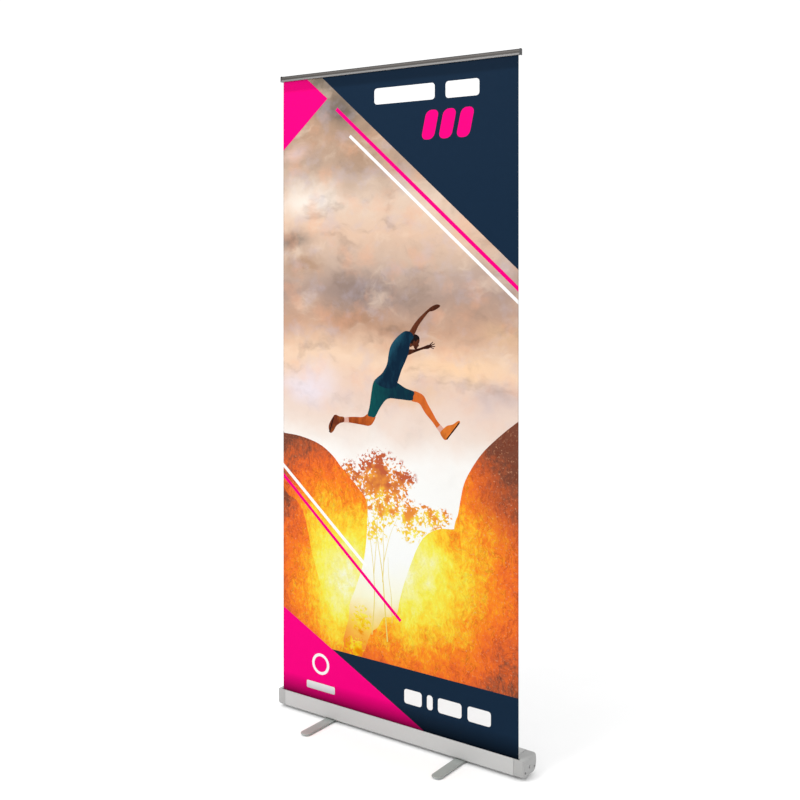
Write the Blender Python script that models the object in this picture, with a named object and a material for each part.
"""Roll-up banner stand: a floor cassette with a sprung roller, a printed graphic, a top rail and a pole.

Metres, +Z up, the graphic faces -Y. The origin is on the floor, in the middle of the stand's footprint.
Run with: blender --background --python part.py
"""

import math

import bmesh
import bpy
from mathutils import Vector

# Driving dimensions
GRAPHIC_WIDTH = 0.850
GRAPHIC_HEIGHT = 2.000
OVERALL_WIDTH = 0.890
GAP = 0.0003

# Feet
PAD_THICKNESS = 0.0030
PAD_RADIUS = 0.0120
PAD_REACH = 0.155
FOOT_THICKNESS = 0.0040
FOOT_WIDTH = 0.032
FOOT_LENGTH = 0.360
FOOT_X = 0.235
WASHER_THICKNESS = 0.0015
WASHER_RADIUS = 0.0140
RIVET_RADIUS = 0.0035

FOOT_BOTTOM = PAD_THICKNESS + GAP
FOOT_TOP = FOOT_BOTTOM + FOOT_THICKNESS
WASHER_BOTTOM = FOOT_TOP + GAP
BASE_BOTTOM = WASHER_BOTTOM + WASHER_THICKNESS + GAP

# Cassette profile, in Y and Z
BASE_HEIGHT = 0.051
BASE_DEPTH = 0.085
WALL = 0.0016
BASE_TOP = BASE_BOTTOM + BASE_HEIGHT
FRONT_Y = -BASE_DEPTH / 2
BACK_Y = BASE_DEPTH / 2
GRAPHIC_Y = FRONT_Y + 0.0075
SLOT_FRONT = GRAPHIC_Y - 0.0035
SLOT_BACK = GRAPHIC_Y + 0.0035
FLOOR_EDGE_Y = 0.020
SHOULDER_Z = BASE_TOP - 0.0190
SHOULDER_Y = BACK_Y - 0.0055
BELLY_Z = BASE_BOTTOM + 0.0300
CORNER = 0.0080
LIP_RADIUS = 0.0015
HOUSING_HALF = 0.4120
SLOT_CHAMFER = 0.0008
LIP_DEPTH = 0.0045
LIP_CORNER_POINTS = 4
CAP_INNER = 0.4285
CAP_SHRINK = 0.985
CAP_DOME = (
    (0.4340, 1.0),
    (0.4375, 0.990),
    (0.4403, 0.965),
    (0.4422, 0.925),
    (0.4438, 0.840),
    (OVERALL_WIDTH / 2, 0.600),
)
BOSS_RADIUS = 0.0036
BOSS_WEB = 0.0016
BOSSES = {"front": (-0.0315, BASE_BOTTOM + 0.0150), "rear": (0.0240, BASE_BOTTOM + 0.0165)}
BOSS_ROOTS = {"front": FRONT_Y + 0.0008, "rear": BACK_Y - 0.0032}
BOSS_HOLE = 0.0017

# Screws along X. The clearance holes past the housing end well outside the caps
BEYOND_CAP = OVERALL_WIDTH / 2 + 0.010
CAP_SCREW_TIP = 0.3950
CAP_SCREW_SEAT = 0.4398
CAP_SCREW_TOP = 0.4426
CAP_SCREW_SHANK = 0.0014
CAP_SCREW_HEAD = 0.0032
AXLE_SCREW_TIP = 0.4230
AXLE_SCREW_SEAT = 0.4412
AXLE_SCREW_TOP = 0.4440
AXLE_SCREW_SHANK = 0.0018
AXLE_SCREW_HEAD = 0.0040

# Roller and its spring
ROLLER_Y = -0.0080
ROLLER_Z = 0.0345
TUBE_RADIUS = 0.0125
TUBE_WALL = 0.0010
TUBE_HALF = 0.4262
WOUND_RADIUS = 0.0145
AXLE_RADIUS = 0.0030
AXLE_END = 0.4335
AXLE_FIT = 0.00015
IDLE_PLUG_START = 0.4040
BUSH_RADIUS = 0.0050
BUSH_START = 0.4273
BUSH_END = 0.4345
DRIVE_PLUG_START = 0.4060
SHAFT_START = 0.2785
SHAFT_BORE_START = 0.4200
SHAFT_BORE = 0.0021
ANCHOR_SPAN = (0.2870, 0.2980)
ANCHOR_RADIUS = 0.0095
FILM = 0.0005
SPRING_START = 0.3000
SPRING_END = 0.4030
SPRING_TURNS = 13
SPRING_RADIUS = 0.0070
SPRING_WIRE = 0.0010

# Top rail
RAIL_BOTTOM = BASE_TOP + GRAPHIC_HEIGHT
RAIL_HEIGHT = 0.0180
RAIL_TOP = RAIL_BOTTOM + RAIL_HEIGHT
RAIL_HALF_DEPTH = 0.0055
RAIL_HALF = 0.4300
RAIL_CAP_END = 0.4330
RAIL_WALL = 0.0014
RAIL_ROOF = RAIL_WALL + 0.0010
RAIL_MOUTH = 0.0011
RIB_REACH = 0.0060
RIB_WALL = 0.0012
RIB_TOP = RAIL_TOP - 0.0044
RIB_BOTTOM = RAIL_TOP - 0.0119
RAIL_TONGUE_START = 0.4180

# Pole
SOCKET_Y = 0.0255
POLE_TOP_Y = -0.0100
POLE_TILT = math.atan((SOCKET_Y - POLE_TOP_Y) / (RAIL_BOTTOM - BASE_TOP - 0.020))
POLE_WALL = 0.0010
LOWER_RADIUS = 0.0095
MIDDLE_RADIUS = 0.0080
UPPER_RADIUS = 0.0065
LOWER_SPAN = (-0.0275, 0.6600)
MIDDLE_SPAN = (0.5900, 1.3100)
UPPER_SPAN = (1.2400, 1.9745)
HEAD_BOTTOM = 1.9450
HEAD_TOP = 1.9900
HEAD_HALF_WIDTH = 0.0120
SOCKET_HOLE = 0.0122
SOCKET_FLANGE = 0.0128
SOCKET_EAR = 0.0062
SOCKET_REACH = 0.0205
COLLAR_WALL = 0.0034
COLLAR_BELOW = 0.0220
COLLAR_ABOVE = 0.0140

COLOURS = {
    "anodised_aluminium": ((0.46, 0.45, 0.44), 0.38, 0.85),
    "cap_plastic": ((0.45, 0.44, 0.43), 0.45, 0.0),
    "foot_metal": ((0.40, 0.40, 0.38), 0.42, 0.8),
    "rail_metal": ((0.17, 0.15, 0.13), 0.35, 0.85),
    "black_plastic": ((0.02, 0.02, 0.02), 0.5, 0.0),
    "white_nylon": ((0.75, 0.75, 0.72), 0.5, 0.0),
    "steel": ((0.55, 0.55, 0.56), 0.3, 1.0),
    "rubber": ((0.03, 0.03, 0.03), 0.85, 0.0),
    "pole_metal": ((0.50, 0.50, 0.51), 0.33, 0.9),
    "film": ((0.55, 0.50, 0.46), 0.45, 0.0),
}


def clear_scene():
    for old in list(bpy.data.objects):
        bpy.data.objects.remove(old, do_unlink=True)


def material(slot):
    found = bpy.data.materials.get(slot)
    if found:
        return found
    colour, roughness, metallic = COLOURS[slot]
    made = bpy.data.materials.new(slot)
    made.use_nodes = True
    shader = made.node_tree.nodes["Principled BSDF"]
    shader.inputs["Base Color"].default_value = (*colour, 1.0)
    shader.inputs["Roughness"].default_value = roughness
    shader.inputs["Metallic"].default_value = metallic
    return made


def finish_mesh(name, bm, slot, parent=None):
    """Turns a bmesh into a named object with its own material, shaded smooth where it is round."""
    bmesh.ops.recalc_face_normals(bm, faces=bm.faces)
    mesh = bpy.data.meshes.new(name)
    bm.to_mesh(mesh)
    bm.free()
    mesh.shade_smooth()
    mesh.set_sharp_from_angle(angle=math.radians(32))
    obj = bpy.data.objects.new(name, mesh)
    bpy.context.scene.collection.objects.link(obj)
    if slot:
        mesh.materials.append(material(slot))
    obj.parent = parent
    return obj


def arc(centre, radii, start, end, steps):
    """Points of an elliptic arc, angles in degrees."""
    points = []
    for i in range(steps + 1):
        angle = math.radians(start + (end - start) * i / steps)
        points.append((centre[0] + radii[0] * math.cos(angle), centre[1] + radii[1] * math.sin(angle)))
    return points


def loft(name, rings, slot, parent=None):
    """A closed solid through rings of points, each with the same count, with flat ends."""
    bm = bmesh.new()
    loops = [[bm.verts.new(point) for point in ring] for ring in rings]
    count = len(loops[0])
    for low, high in zip(loops, loops[1:]):
        for i in range(count):
            bm.faces.new((low[i], low[(i + 1) % count], high[(i + 1) % count], high[i]))
    bm.faces.new(loops[0][::-1])
    bm.faces.new(loops[-1])
    return finish_mesh(name, bm, slot, parent)


def extrude_x(name, outline, start, end, slot, parent=None):
    """A profile given in (y, z), extruded along X."""
    rings = [[(x, y, z) for y, z in outline] for x in (start, end)]
    return loft(name, rings, slot, parent)


def extrude_z(name, outline, start, end, slot, parent=None):
    """A plan outline given in (x, y), extruded along Z."""
    rings = [[(x, y, z) for x, y in outline] for z in (start, end)]
    return loft(name, rings, slot, parent)


def turn(name, profile, slot, axis="Z", at=(0, 0, 0), ring=False, segments=32, parent=None):
    """A turned solid from (radius, height) points. A ring's profile closes on itself away from the axis."""
    bm = bmesh.new()
    rows = []
    for radius, height in profile:
        count = segments if radius > 1e-9 else 1
        row = []
        for i in range(count):
            angle = 2 * math.pi * i / segments
            across = (radius * math.cos(angle), radius * math.sin(angle))
            if axis == "Z":
                point = (across[0], across[1], height)
            else:
                point = (height, across[0], across[1])
            row.append(bm.verts.new(Vector(point) + Vector(at)))
        rows.append(row)
    pairs = list(zip(rows, rows[1:]))
    if ring:
        pairs.append((rows[-1], rows[0]))
    for low, high in pairs:
        for i in range(segments):
            corners = [low[i % len(low)], low[(i + 1) % len(low)]]
            corners += [high[(i + 1) % len(high)], high[i % len(high)]]
            unique = list(dict.fromkeys(corners))
            if len(unique) > 2:
                bm.faces.new(unique)
    return finish_mesh(name, bm, slot, parent)


def tube_profile(inner, outer, start, end):
    return [(outer, start), (outer, end), (inner, end), (inner, start)]


def boolean(target, tool, operation):
    """Cuts or joins with a hidden helper object. Both are shaded flat, so that the new edges stay crisp."""
    target.data.shade_flat()
    tool.data.shade_flat()
    tool.hide_render = True
    tool.display_type = "WIRE"
    step = target.modifiers.new(f"{operation.lower()}_{tool.name}", "BOOLEAN")
    step.operation = operation
    step.solver = "EXACT"
    step.object = tool


def cut(target, tool):
    boolean(target, tool, "DIFFERENCE")


def join(target, tool):
    boolean(target, tool, "UNION")


def base_outline(inset=0.0):
    """The cassette's closed outer outline in (y, z), front bottom first, drawn anticlockwise from +X."""
    low = BASE_BOTTOM + inset
    top = BASE_TOP - inset
    front = FRONT_Y + inset
    corner = CORNER - inset * 0.6
    lip = LIP_RADIUS - inset * 0.3
    points = arc((front + corner, low + corner), (corner, corner), 180, 270, 6)
    belly = (BACK_Y - FLOOR_EDGE_Y - inset, BELLY_Z - low)
    points += arc((FLOOR_EDGE_Y, BELLY_Z), belly, 270, 360, 10)
    shoulder = (BACK_Y - inset - SHOULDER_Y, top - SHOULDER_Z)
    points += arc((SHOULDER_Y, SHOULDER_Z), shoulder, 0, 90, 6)
    points += arc((front + lip, top - lip), (lip, lip), 90, 180, 3)
    return points


def channel_outline():
    """The open cassette profile: a wall all round, with the graphic's slot behind the front lip."""
    outer = base_outline()
    inner = base_outline(WALL)
    under_lip = BASE_TOP - LIP_DEPTH
    points = outer[:-LIP_CORNER_POINTS]
    points += [(SLOT_BACK + SLOT_CHAMFER, BASE_TOP), (SLOT_BACK, BASE_TOP - SLOT_CHAMFER)]
    points += [(SLOT_BACK, under_lip + 0.0010), (SLOT_BACK + 0.0010, under_lip)]
    points.append((SLOT_BACK + 0.0030, BASE_TOP - WALL))
    points += inner[:-LIP_CORNER_POINTS][::-1]
    points += [(FRONT_Y + WALL, under_lip - 0.0015), (SLOT_FRONT, under_lip), (SLOT_FRONT, BASE_TOP)]
    points += outer[-LIP_CORNER_POINTS:]
    return points


def x_cylinder(name, radius, y, z, start, end, segments=24):
    profile = [(0, start), (radius, start), (radius, end), (0, end)]
    return turn(name, profile, None, "X", (0, y, z), segments=segments)


def boss_web(name, place, start, end):
    """The thin web that ties a screw boss to the cassette's wall."""
    y, z = BOSSES[place]
    root = BOSS_ROOTS[place]
    low = z - BOSS_WEB / 2
    high = z + BOSS_WEB / 2
    return extrude_x(name, [(y, low), (root, low), (root, high), (y, high)], start, end, None)


def base_housing(pole_axis):
    """Extruded cassette with screw bosses, the pole's hole in its top and the feet's rivet holes below."""
    housing = extrude_x("base_housing", channel_outline(), -HOUSING_HALF, HOUSING_HALF, "anodised_aluminium")
    for place, (y, z) in BOSSES.items():
        join(housing, x_cylinder(f"boss_{place}", BOSS_RADIUS, y, z, -HOUSING_HALF, HOUSING_HALF))
        join(housing, boss_web(f"web_{place}", place, -HOUSING_HALF, HOUSING_HALF))
    for place, (y, z) in BOSSES.items():
        cut(housing, x_cylinder(f"boss_hole_{place}", BOSS_HOLE, y, z, -BEYOND_CAP, BEYOND_CAP, 12))
    hole = [(0, -0.020), (SOCKET_HOLE, -0.020), (SOCKET_HOLE, 0.020), (0, 0.020)]
    cut(housing, turn("socket_hole", hole, None, parent=pole_axis))
    for side, x in (("left", -FOOT_X), ("right", FOOT_X)):
        hole = [(0, -0.01), (RIVET_RADIUS + GAP, -0.01), (RIVET_RADIUS + GAP, 0.01), (0, 0.01)]
        cut(housing, turn(f"rivet_hole_{side}", hole, None, at=(x, 0, BASE_BOTTOM), segments=20))
    return housing


def scaled(outline, factor):
    """An outline shrunk towards the cassette's middle."""
    centre_z = BASE_BOTTOM + BASE_HEIGHT / 2
    return [(y * factor, centre_z + (z - centre_z) * factor) for y, z in outline]


def end_cap(side, sign):
    """Moulded cap with a slightly domed end, hollow behind it, and counterbored for its screws."""
    near = sign * (HOUSING_HALF + GAP)
    inside = sign * (HOUSING_HALF - 0.010)
    beyond = sign * BEYOND_CAP
    rings = []
    for x, factor in ((HOUSING_HALF + GAP, 1.0), *CAP_DOME):
        rings.append([(sign * x, y, z) for y, z in scaled(base_outline(), CAP_SHRINK * factor)])
    cap = loft(f"end_cap_{side}", rings, "cap_plastic")
    hollow = [(y, z) for y, z in base_outline(WALL + 0.0010)]
    cut(cap, extrude_x(f"hollow_{side}", hollow, inside, sign * CAP_INNER, None))
    slot = [(SLOT_FRONT, BASE_TOP + 0.01), (SLOT_FRONT, BASE_TOP - 0.01)]
    slot += [(SLOT_BACK, BASE_TOP - 0.01), (SLOT_BACK, BASE_TOP + 0.01)]
    cut(cap, extrude_x(f"slot_{side}", slot, inside, sign * CAP_INNER, None))
    for place, (y, z) in BOSSES.items():
        join(cap, x_cylinder(f"post_{side}_{place}", BOSS_RADIUS, y, z, near, sign * (CAP_INNER + 0.0035)))
    for place, (y, z) in BOSSES.items():
        cut(cap, x_cylinder(f"screw_way_{side}_{place}", CAP_SCREW_SHANK + 0.0006, y, z, inside, beyond, 16))
        seat = sign * CAP_SCREW_SEAT
        cut(cap, x_cylinder(f"screw_sink_{side}_{place}", CAP_SCREW_HEAD + 0.0004, y, z, seat, beyond))
    if side == "right":
        middle = (ROLLER_Y, ROLLER_Z)
        cut(cap, x_cylinder("axle_seat", AXLE_RADIUS + GAP, *middle, near, AXLE_END + 0.0005))
        cut(cap, x_cylinder("axle_screw_way", AXLE_SCREW_SHANK + 0.0004, *middle, near, beyond, 16))
        cut(cap, x_cylinder("axle_screw_sink", AXLE_SCREW_HEAD + 0.0004, *middle, AXLE_SCREW_SEAT, beyond))
    else:
        cut(cap, x_cylinder("bush_seat", BUSH_RADIUS + GAP, ROLLER_Y, ROLLER_Z, near, -BUSH_END - 0.0005))
    return cap


def screw(name, sign, at, places, shank, head):
    """A pan-head screw along X, with a blind drive socket in its head. Its places are tip, seat and top."""
    tip, seat, top = places
    profile = [(0, tip), (shank * 0.6, tip), (shank, tip + 0.0015), (shank, seat), (head, seat)]
    profile += [(head, top - 0.0008), (head * 0.8, top), (head * 0.42, top)]
    profile += [(head * 0.42, top - 0.0012), (0, top - 0.0012)]
    profile = [(radius, sign * x) for radius, x in profile]
    turn(name, profile, "steel", "X", (0, *at), segments=18)


def fasteners():
    places = (CAP_SCREW_TIP, CAP_SCREW_SEAT + GAP, CAP_SCREW_TOP)
    for side, sign in (("left", -1), ("right", 1)):
        for place, at in BOSSES.items():
            screw(f"cap_screw_{side}_{place}", sign, at, places, CAP_SCREW_SHANK, CAP_SCREW_HEAD)
    places = (AXLE_SCREW_TIP, AXLE_SCREW_SEAT + GAP, AXLE_SCREW_TOP)
    screw("axle_screw", 1, (ROLLER_Y, ROLLER_Z), places, AXLE_SCREW_SHANK, AXLE_SCREW_HEAD)


def roller():
    """The sprung roller: a tube on a fixed shaft at its right end and on a bush at its left end."""
    at = (0, ROLLER_Y, ROLLER_Z)
    inner = TUBE_RADIUS - TUBE_WALL
    tube = tube_profile(inner, TUBE_RADIUS, -TUBE_HALF, TUBE_HALF)
    turn("roller_tube", tube, "anodised_aluminium", "X", at, True, 40)
    half = GRAPHIC_WIDTH / 2
    wound = tube_profile(TUBE_RADIUS + GAP, WOUND_RADIUS, -half, half)
    turn("leader_roll", wound, "film", "X", at, True, 40)
    plug = inner - GAP
    profile = [(0, -IDLE_PLUG_START), (plug, -IDLE_PLUG_START), (plug, -TUBE_HALF), (AXLE_RADIUS, -TUBE_HALF)]
    profile += [(AXLE_RADIUS, -AXLE_END), (0, -AXLE_END)]
    turn("idle_plug", profile, "black_plastic", "X", at, segments=28)
    bush = tube_profile(AXLE_RADIUS + AXLE_FIT, BUSH_RADIUS, -BUSH_START, -BUSH_END)
    turn("idle_bush", bush, "white_nylon", "X", at, True, 28)
    drive = tube_profile(AXLE_RADIUS + AXLE_FIT, plug, DRIVE_PLUG_START, TUBE_HALF)
    turn("drive_plug", drive, "black_plastic", "X", at, True, 28)
    shaft = [(0, SHAFT_START), (AXLE_RADIUS, SHAFT_START), (AXLE_RADIUS, AXLE_END)]
    shaft += [(SHAFT_BORE, AXLE_END), (SHAFT_BORE, SHAFT_BORE_START), (0, SHAFT_BORE_START)]
    turn("spring_shaft", shaft, "steel", "X", at, segments=24)
    anchor = tube_profile(AXLE_RADIUS + GAP, ANCHOR_RADIUS, *ANCHOR_SPAN)
    turn("spring_anchor", anchor, "white_nylon", "X", at, True, 28)
    torsion_spring()


def torsion_spring():
    """A helix of round wire between the fixed anchor and the plug that turns with the tube."""
    steps_per_turn = 10
    sides = 6
    count = SPRING_TURNS * steps_per_turn
    rings = []
    for i in range(count + 1):
        angle = 2 * math.pi * i / steps_per_turn
        x = SPRING_START + (SPRING_END - SPRING_START) * i / count
        outward = Vector((0, math.cos(angle), math.sin(angle)))
        along = Vector((1, 0, 0))
        centre = Vector((x, ROLLER_Y, ROLLER_Z)) + outward * SPRING_RADIUS
        ring = []
        for k in range(sides):
            turned = 2 * math.pi * k / sides
            ring.append(centre + SPRING_WIRE * (outward * math.cos(turned) + along * math.sin(turned)))
        rings.append(ring)
    loft("torsion_spring", rings, "steel")


def graphic_panel():
    """The film: wound off the front of the roller, up through the slot and straight to the rail."""
    centre = Vector((ROLLER_Y, ROLLER_Z))
    knee = Vector((GRAPHIC_Y, BASE_TOP - 0.0055))
    reach = knee - centre
    clear = WOUND_RADIUS + GAP + FILM / 2
    angle = math.atan2(reach.y, reach.x) + math.acos(clear / reach.length)
    touch = centre + clear * Vector((math.cos(angle), math.sin(angle)))
    path = [touch, knee, Vector((GRAPHIC_Y, RAIL_TOP - 0.0060))]
    front = []
    back = []
    for i, point in enumerate(path):
        before = path[max(i - 1, 0)]
        after = path[min(i + 1, len(path) - 1)]
        along = (after - before).normalized()
        across = Vector((along.y, -along.x)) * FILM / 2
        front.append(tuple(point - across))
        back.append(tuple(point + across))
    outline = front + back[::-1]
    half = GRAPHIC_WIDTH / 2
    extrude_x("graphic_panel", outline, -half, half, "film")


def rail_outline():
    """Top rail in (y, z): two jaws round the film, a rounded top, and a hanging rib along the back."""
    front = GRAPHIC_Y - RAIL_HALF_DEPTH
    back = GRAPHIC_Y + RAIL_HALF_DEPTH
    rib_back = back + RIB_REACH
    floor = RAIL_BOTTOM + RAIL_WALL
    roof = RAIL_TOP - RAIL_ROOF
    points = [(GRAPHIC_Y - RAIL_MOUTH, RAIL_BOTTOM), (GRAPHIC_Y - RAIL_MOUTH, floor)]
    points += [(front + RAIL_WALL, floor), (front + RAIL_WALL, roof), (back - RAIL_WALL, roof)]
    points += [(back - RAIL_WALL, floor), (GRAPHIC_Y + RAIL_MOUTH, floor)]
    points.append((GRAPHIC_Y + RAIL_MOUTH, RAIL_BOTTOM))
    points += [(back - 0.0005, RAIL_BOTTOM), (back, RAIL_BOTTOM + 0.0005)]
    points += [(back, RIB_TOP - 0.0016), (rib_back - RIB_WALL, RIB_TOP - 0.0016)]
    points += [(rib_back - RIB_WALL, RIB_BOTTOM), (rib_back, RIB_BOTTOM)]
    points += [(rib_back, RIB_TOP), (back, RIB_TOP)]
    points += arc((GRAPHIC_Y, RAIL_TOP - 0.0042), (RAIL_HALF_DEPTH, 0.0042), 15, 165, 10)
    points += [(front + 0.0004, RAIL_TOP - 0.0072), (front + 0.0004, RAIL_BOTTOM + 0.0062)]
    points += [(front - 0.0006, RAIL_BOTTOM + 0.0056), (front - 0.0006, RAIL_BOTTOM + 0.0008)]
    points.append((front, RAIL_BOTTOM))
    return points


def top_rail():
    extrude_x("top_rail", rail_outline(), -RAIL_HALF, RAIL_HALF, "rail_metal")
    front = GRAPHIC_Y - RAIL_HALF_DEPTH - 0.0014
    back = GRAPHIC_Y + RAIL_HALF_DEPTH + 0.0008
    low = RAIL_BOTTOM - 0.0006
    high = RAIL_TOP + 0.0006
    for side, sign in (("left", -1), ("right", 1)):
        rounded = arc((back - 0.003, high - 0.003), (0.003, 0.003), 0, 90, 4)
        rounded += arc((front + 0.003, high - 0.003), (0.003, 0.003), 90, 180, 4)
        rounded += arc((front + 0.001, low + 0.001), (0.001, 0.001), 180, 270, 2)
        rounded += arc((back - 0.001, low + 0.001), (0.001, 0.001), 270, 360, 2)
        ends = (sign * (RAIL_HALF + GAP), sign * RAIL_CAP_END)
        cap = extrude_x(f"rail_cap_{side}", rounded, *ends, "black_plastic")
        tongue_back = GRAPHIC_Y - FILM / 2 - GAP
        tongue_front = GRAPHIC_Y - RAIL_HALF_DEPTH + RAIL_WALL + GAP
        tongue_low = RAIL_BOTTOM + RAIL_WALL + GAP
        tongue_high = RAIL_TOP - RAIL_ROOF - GAP
        tongue = [(tongue_front, tongue_low), (tongue_back, tongue_low)]
        tongue += [(tongue_back, tongue_high), (tongue_front, tongue_high)]
        ends = (sign * RAIL_TONGUE_START, sign * (RAIL_CAP_END - 0.001))
        join(cap, extrude_x(f"tongue_{side}", tongue, *ends, None))
    strip_low = RAIL_BOTTOM + RAIL_WALL + 0.0010
    strip = [(GRAPHIC_Y + FILM / 2 + GAP, strip_low), (GRAPHIC_Y + 0.0036, strip_low)]
    strip += [(GRAPHIC_Y + 0.0036, RAIL_TOP - 0.0050), (GRAPHIC_Y + FILM / 2 + GAP, RAIL_TOP - 0.0050)]
    half = GRAPHIC_WIDTH / 2
    extrude_x("graphic_clamp_strip", strip, -half, half, "white_nylon")


def foot(side, x):
    """A flat bar with round ends that turns on its rivet, and a rubber pad under each end."""
    straight = FOOT_LENGTH / 2 - FOOT_WIDTH / 2
    radii = (FOOT_WIDTH / 2, FOOT_WIDTH / 2)
    outline = arc((x, straight), radii, 0, 180, 14)
    outline += arc((x, -straight), radii, 180, 360, 14)
    bar = extrude_z(f"foot_{side}", outline, FOOT_BOTTOM, FOOT_TOP, "foot_metal")
    edge = bar.modifiers.new("soft_edge", "BEVEL")
    edge.width = 0.0008
    edge.segments = 2
    edge.limit_method = "ANGLE"
    edge.angle_limit = math.radians(50)
    hole = [(0, 0), (RIVET_RADIUS + GAP, 0), (RIVET_RADIUS + GAP, 0.02), (0, 0.02)]
    cut(bar, turn(f"foot_hole_{side}", hole, None, at=(x, 0, 0), segments=20))
    for end, y in (("front", -PAD_REACH), ("rear", PAD_REACH)):
        pad = [(0, 0), (PAD_RADIUS - 0.0008, 0), (PAD_RADIUS, 0.0008)]
        pad += [(PAD_RADIUS, PAD_THICKNESS), (0, PAD_THICKNESS)]
        turn(f"foot_{side}_pad_{end}", pad, "rubber", at=(x, y, 0), segments=24)
    washer = tube_profile(RIVET_RADIUS + GAP, WASHER_RADIUS, WASHER_BOTTOM, WASHER_BOTTOM + WASHER_THICKNESS)
    turn(f"pivot_washer_{side}", washer, "white_nylon", at=(x, 0, 0), ring=True, segments=28)
    inside = BASE_BOTTOM + WALL + GAP
    rivet = [(0, 0.0014), (0.0055, 0.0014), (0.0068, 0.0024), (0.0068, FOOT_BOTTOM - GAP)]
    rivet += [(RIVET_RADIUS, FOOT_BOTTOM - GAP), (RIVET_RADIUS, inside), (0.0058, inside)]
    rivet += [(0.0058, inside + 0.0010), (0.0046, inside + 0.0016), (0, inside + 0.0016)]
    turn(f"pivot_rivet_{side}", rivet, "steel", at=(x, 0, 0), segments=24)


def pole_tube(name, radius, span, parent):
    profile = tube_profile(radius - POLE_WALL, radius, *span)
    turn(name, profile, "pole_metal", ring=True, segments=32, parent=parent)


def end_plug(name, tube_radius, flange, bottom, parent):
    """Nylon plug pressed in a tube's lower end. Its flange runs in the next tube."""
    spigot = tube_radius - POLE_WALL - GAP
    profile = [(0, bottom - 0.0033), (flange, bottom - 0.0033)]
    profile += [(flange, bottom - GAP), (spigot, bottom - GAP)]
    profile += [(spigot, bottom + 0.0120), (0, bottom + 0.0120)]
    turn(name, profile, "white_nylon", segments=28, parent=parent)


def lock_collar(name, outer_tube, inner_tube, top, parent):
    """Twist-lock collar that clamps the inner tube at the top of the outer tube."""
    body = outer_tube + COLLAR_WALL
    low = top - COLLAR_BELOW
    high = top + COLLAR_ABOVE
    profile = [(body - 0.0012, low), (body, low + 0.0020), (body, high - 0.0050), (inner_tube + 0.0020, high)]
    profile += [(inner_tube + GAP, high), (inner_tube + GAP, top + 0.0015), (outer_tube + GAP, top + 0.0015)]
    profile += [(outer_tube + GAP, low)]
    turn(name, profile, "black_plastic", ring=True, segments=32, parent=parent)


def pole_point(y, z):
    """A point (y, z) of the stand, in the leaning pole's own frame."""
    dy = y - SOCKET_Y
    dz = z - BASE_TOP
    cos = math.cos(POLE_TILT)
    sin = math.sin(POLE_TILT)
    return dy * cos + dz * sin, dz * cos - dy * sin


def pole_socket(axis):
    """A cup let into the cassette's top, with a flange and two screws."""
    bore = LOWER_RADIUS + GAP
    cup = LOWER_RADIUS + 0.0023
    floor = LOWER_SPAN[0] - GAP
    profile = [(0, floor - 0.0016), (cup - 0.001, floor - 0.0016), (cup, floor), (cup, 0.0030)]
    profile += [(cup - 0.0006, 0.0036), (bore + 0.0005, 0.0036), (bore, 0.0030), (bore, floor), (0, floor)]
    socket = turn("pole_socket", profile, "black_plastic", segments=36, parent=axis)
    ear = (SOCKET_EAR, SOCKET_EAR)
    round_flange = (SOCKET_FLANGE, SOCKET_FLANGE)
    flange = arc((SOCKET_REACH, 0), ear, -80, 80, 6)
    flange += arc((0, 0), round_flange, 55, 125, 8)
    flange += arc((-SOCKET_REACH, 0), ear, 100, 260, 6)
    flange += arc((0, 0), round_flange, 235, 305, 8)
    plate = extrude_z("socket_plate", flange, 0.0007, 0.0026, None, axis)
    opening = [(0, -0.01), (cup - 0.0005, -0.01), (cup - 0.0005, 0.01), (0, 0.01)]
    cut(plate, turn("socket_plate_opening", opening, None, segments=36, parent=axis))
    join(socket, plate)
    for side, x in (("left", -SOCKET_REACH), ("right", SOCKET_REACH)):
        way = [(0, -0.01), (0.0019, -0.01), (0.0019, 0.01), (0, 0.01)]
        cut(socket, turn(f"flange_hole_{side}", way, None, at=(x, 0, 0), segments=16, parent=axis))
        profile = [(0, -0.0060), (0.0010, -0.0060), (0.0014, -0.0050), (0.0014, 0.0029), (0.0031, 0.0029)]
        profile += [(0.0031, 0.0038), (0.0024, 0.0046), (0.0013, 0.0046), (0.0013, 0.0036), (0, 0.0036)]
        turn(f"socket_screw_{side}", profile, "steel", at=(x, 0, 0), segments=18, parent=axis)
        hole = [(0, -0.01), (0.0018, -0.01), (0.0018, 0.01), (0, 0.01)]
        tool = turn(f"socket_screw_hole_{side}", hole, None, at=(x, 0, 0), parent=axis)
        cut(bpy.data.objects["base_housing"], tool)


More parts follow.
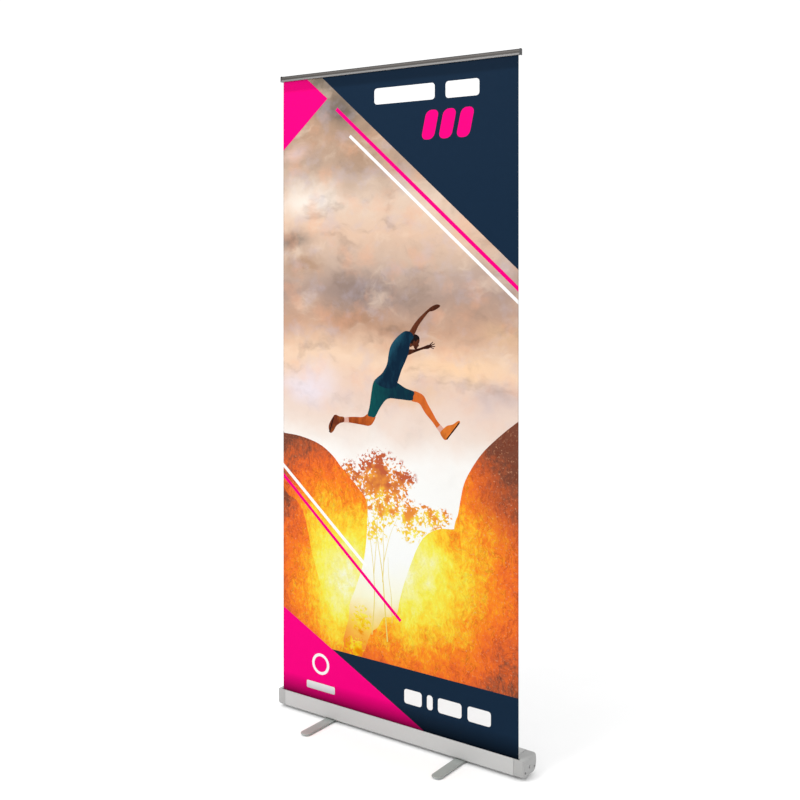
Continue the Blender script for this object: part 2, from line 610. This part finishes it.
def pole_head(axis):
    """Moulded head on the upper tube. Its blade stands up behind the rail, in the rail's hanging rib."""
    bore = UPPER_RADIUS + GAP
    outer = UPPER_RADIUS + 0.0030
    profile = [(outer - 0.001, HEAD_BOTTOM), (outer, HEAD_BOTTOM + 0.001), (outer, HEAD_TOP - 0.001)]
    profile = [(bore, HEAD_BOTTOM)] + profile + [(outer - 0.001, HEAD_TOP), (0, HEAD_TOP)]
    profile += [(0, UPPER_SPAN[1] + GAP), (bore, UPPER_SPAN[1] + GAP)]
    head = turn("pole_head", profile, "black_plastic", ring=True, segments=32, parent=axis)
    blade_front = GRAPHIC_Y + RAIL_HALF_DEPTH + 0.0010
    blade_back = blade_front + 0.0026
    blade_top = RAIL_TOP - 0.0066
    arm = [(-0.0100, RAIL_BOTTOM - 0.0240), (blade_front, RAIL_BOTTOM - 0.0094), (blade_front, blade_top)]
    arm += [(blade_back, blade_top), (blade_back, RAIL_BOTTOM - 0.0034), (-0.0100, RAIL_BOTTOM - 0.0108)]
    arm = [pole_point(y, z) for y, z in arm]
    join(head, extrude_x("head_arm", arm, -HEAD_HALF_WIDTH, HEAD_HALF_WIDTH, None, axis))


def pole(axis):
    """Telescopic pole: the lower tube stands in the socket, the others slide down into it."""
    pole_tube("pole_lower", LOWER_RADIUS, LOWER_SPAN, axis)
    pole_tube("pole_middle", MIDDLE_RADIUS, MIDDLE_SPAN, axis)
    pole_tube("pole_upper", UPPER_RADIUS, UPPER_SPAN, axis)
    end_plug("middle_end_plug", MIDDLE_RADIUS, LOWER_RADIUS - POLE_WALL - 0.0002, MIDDLE_SPAN[0], axis)
    end_plug("upper_end_plug", UPPER_RADIUS, MIDDLE_RADIUS - POLE_WALL - 0.0002, UPPER_SPAN[0], axis)
    lock_collar("lock_collar_lower", LOWER_RADIUS, MIDDLE_RADIUS, LOWER_SPAN[1], axis)
    lock_collar("lock_collar_upper", MIDDLE_RADIUS, UPPER_RADIUS, MIDDLE_SPAN[1], axis)
    pole_head(axis)


def main():
    clear_scene()
    pole_axis = bpy.data.objects.new("pole_axis", None)
    bpy.context.scene.collection.objects.link(pole_axis)
    pole_axis.location = (0, SOCKET_Y, BASE_TOP)
    pole_axis.rotation_euler = (POLE_TILT, 0, 0)
    base_housing(pole_axis)
    for side, sign in (("left", -1), ("right", 1)):
        end_cap(side, sign)
        foot(side, sign * FOOT_X)
    fasteners()
    roller()
    graphic_panel()
    top_rail()
    pole_socket(pole_axis)
    pole(pole_axis)


main()
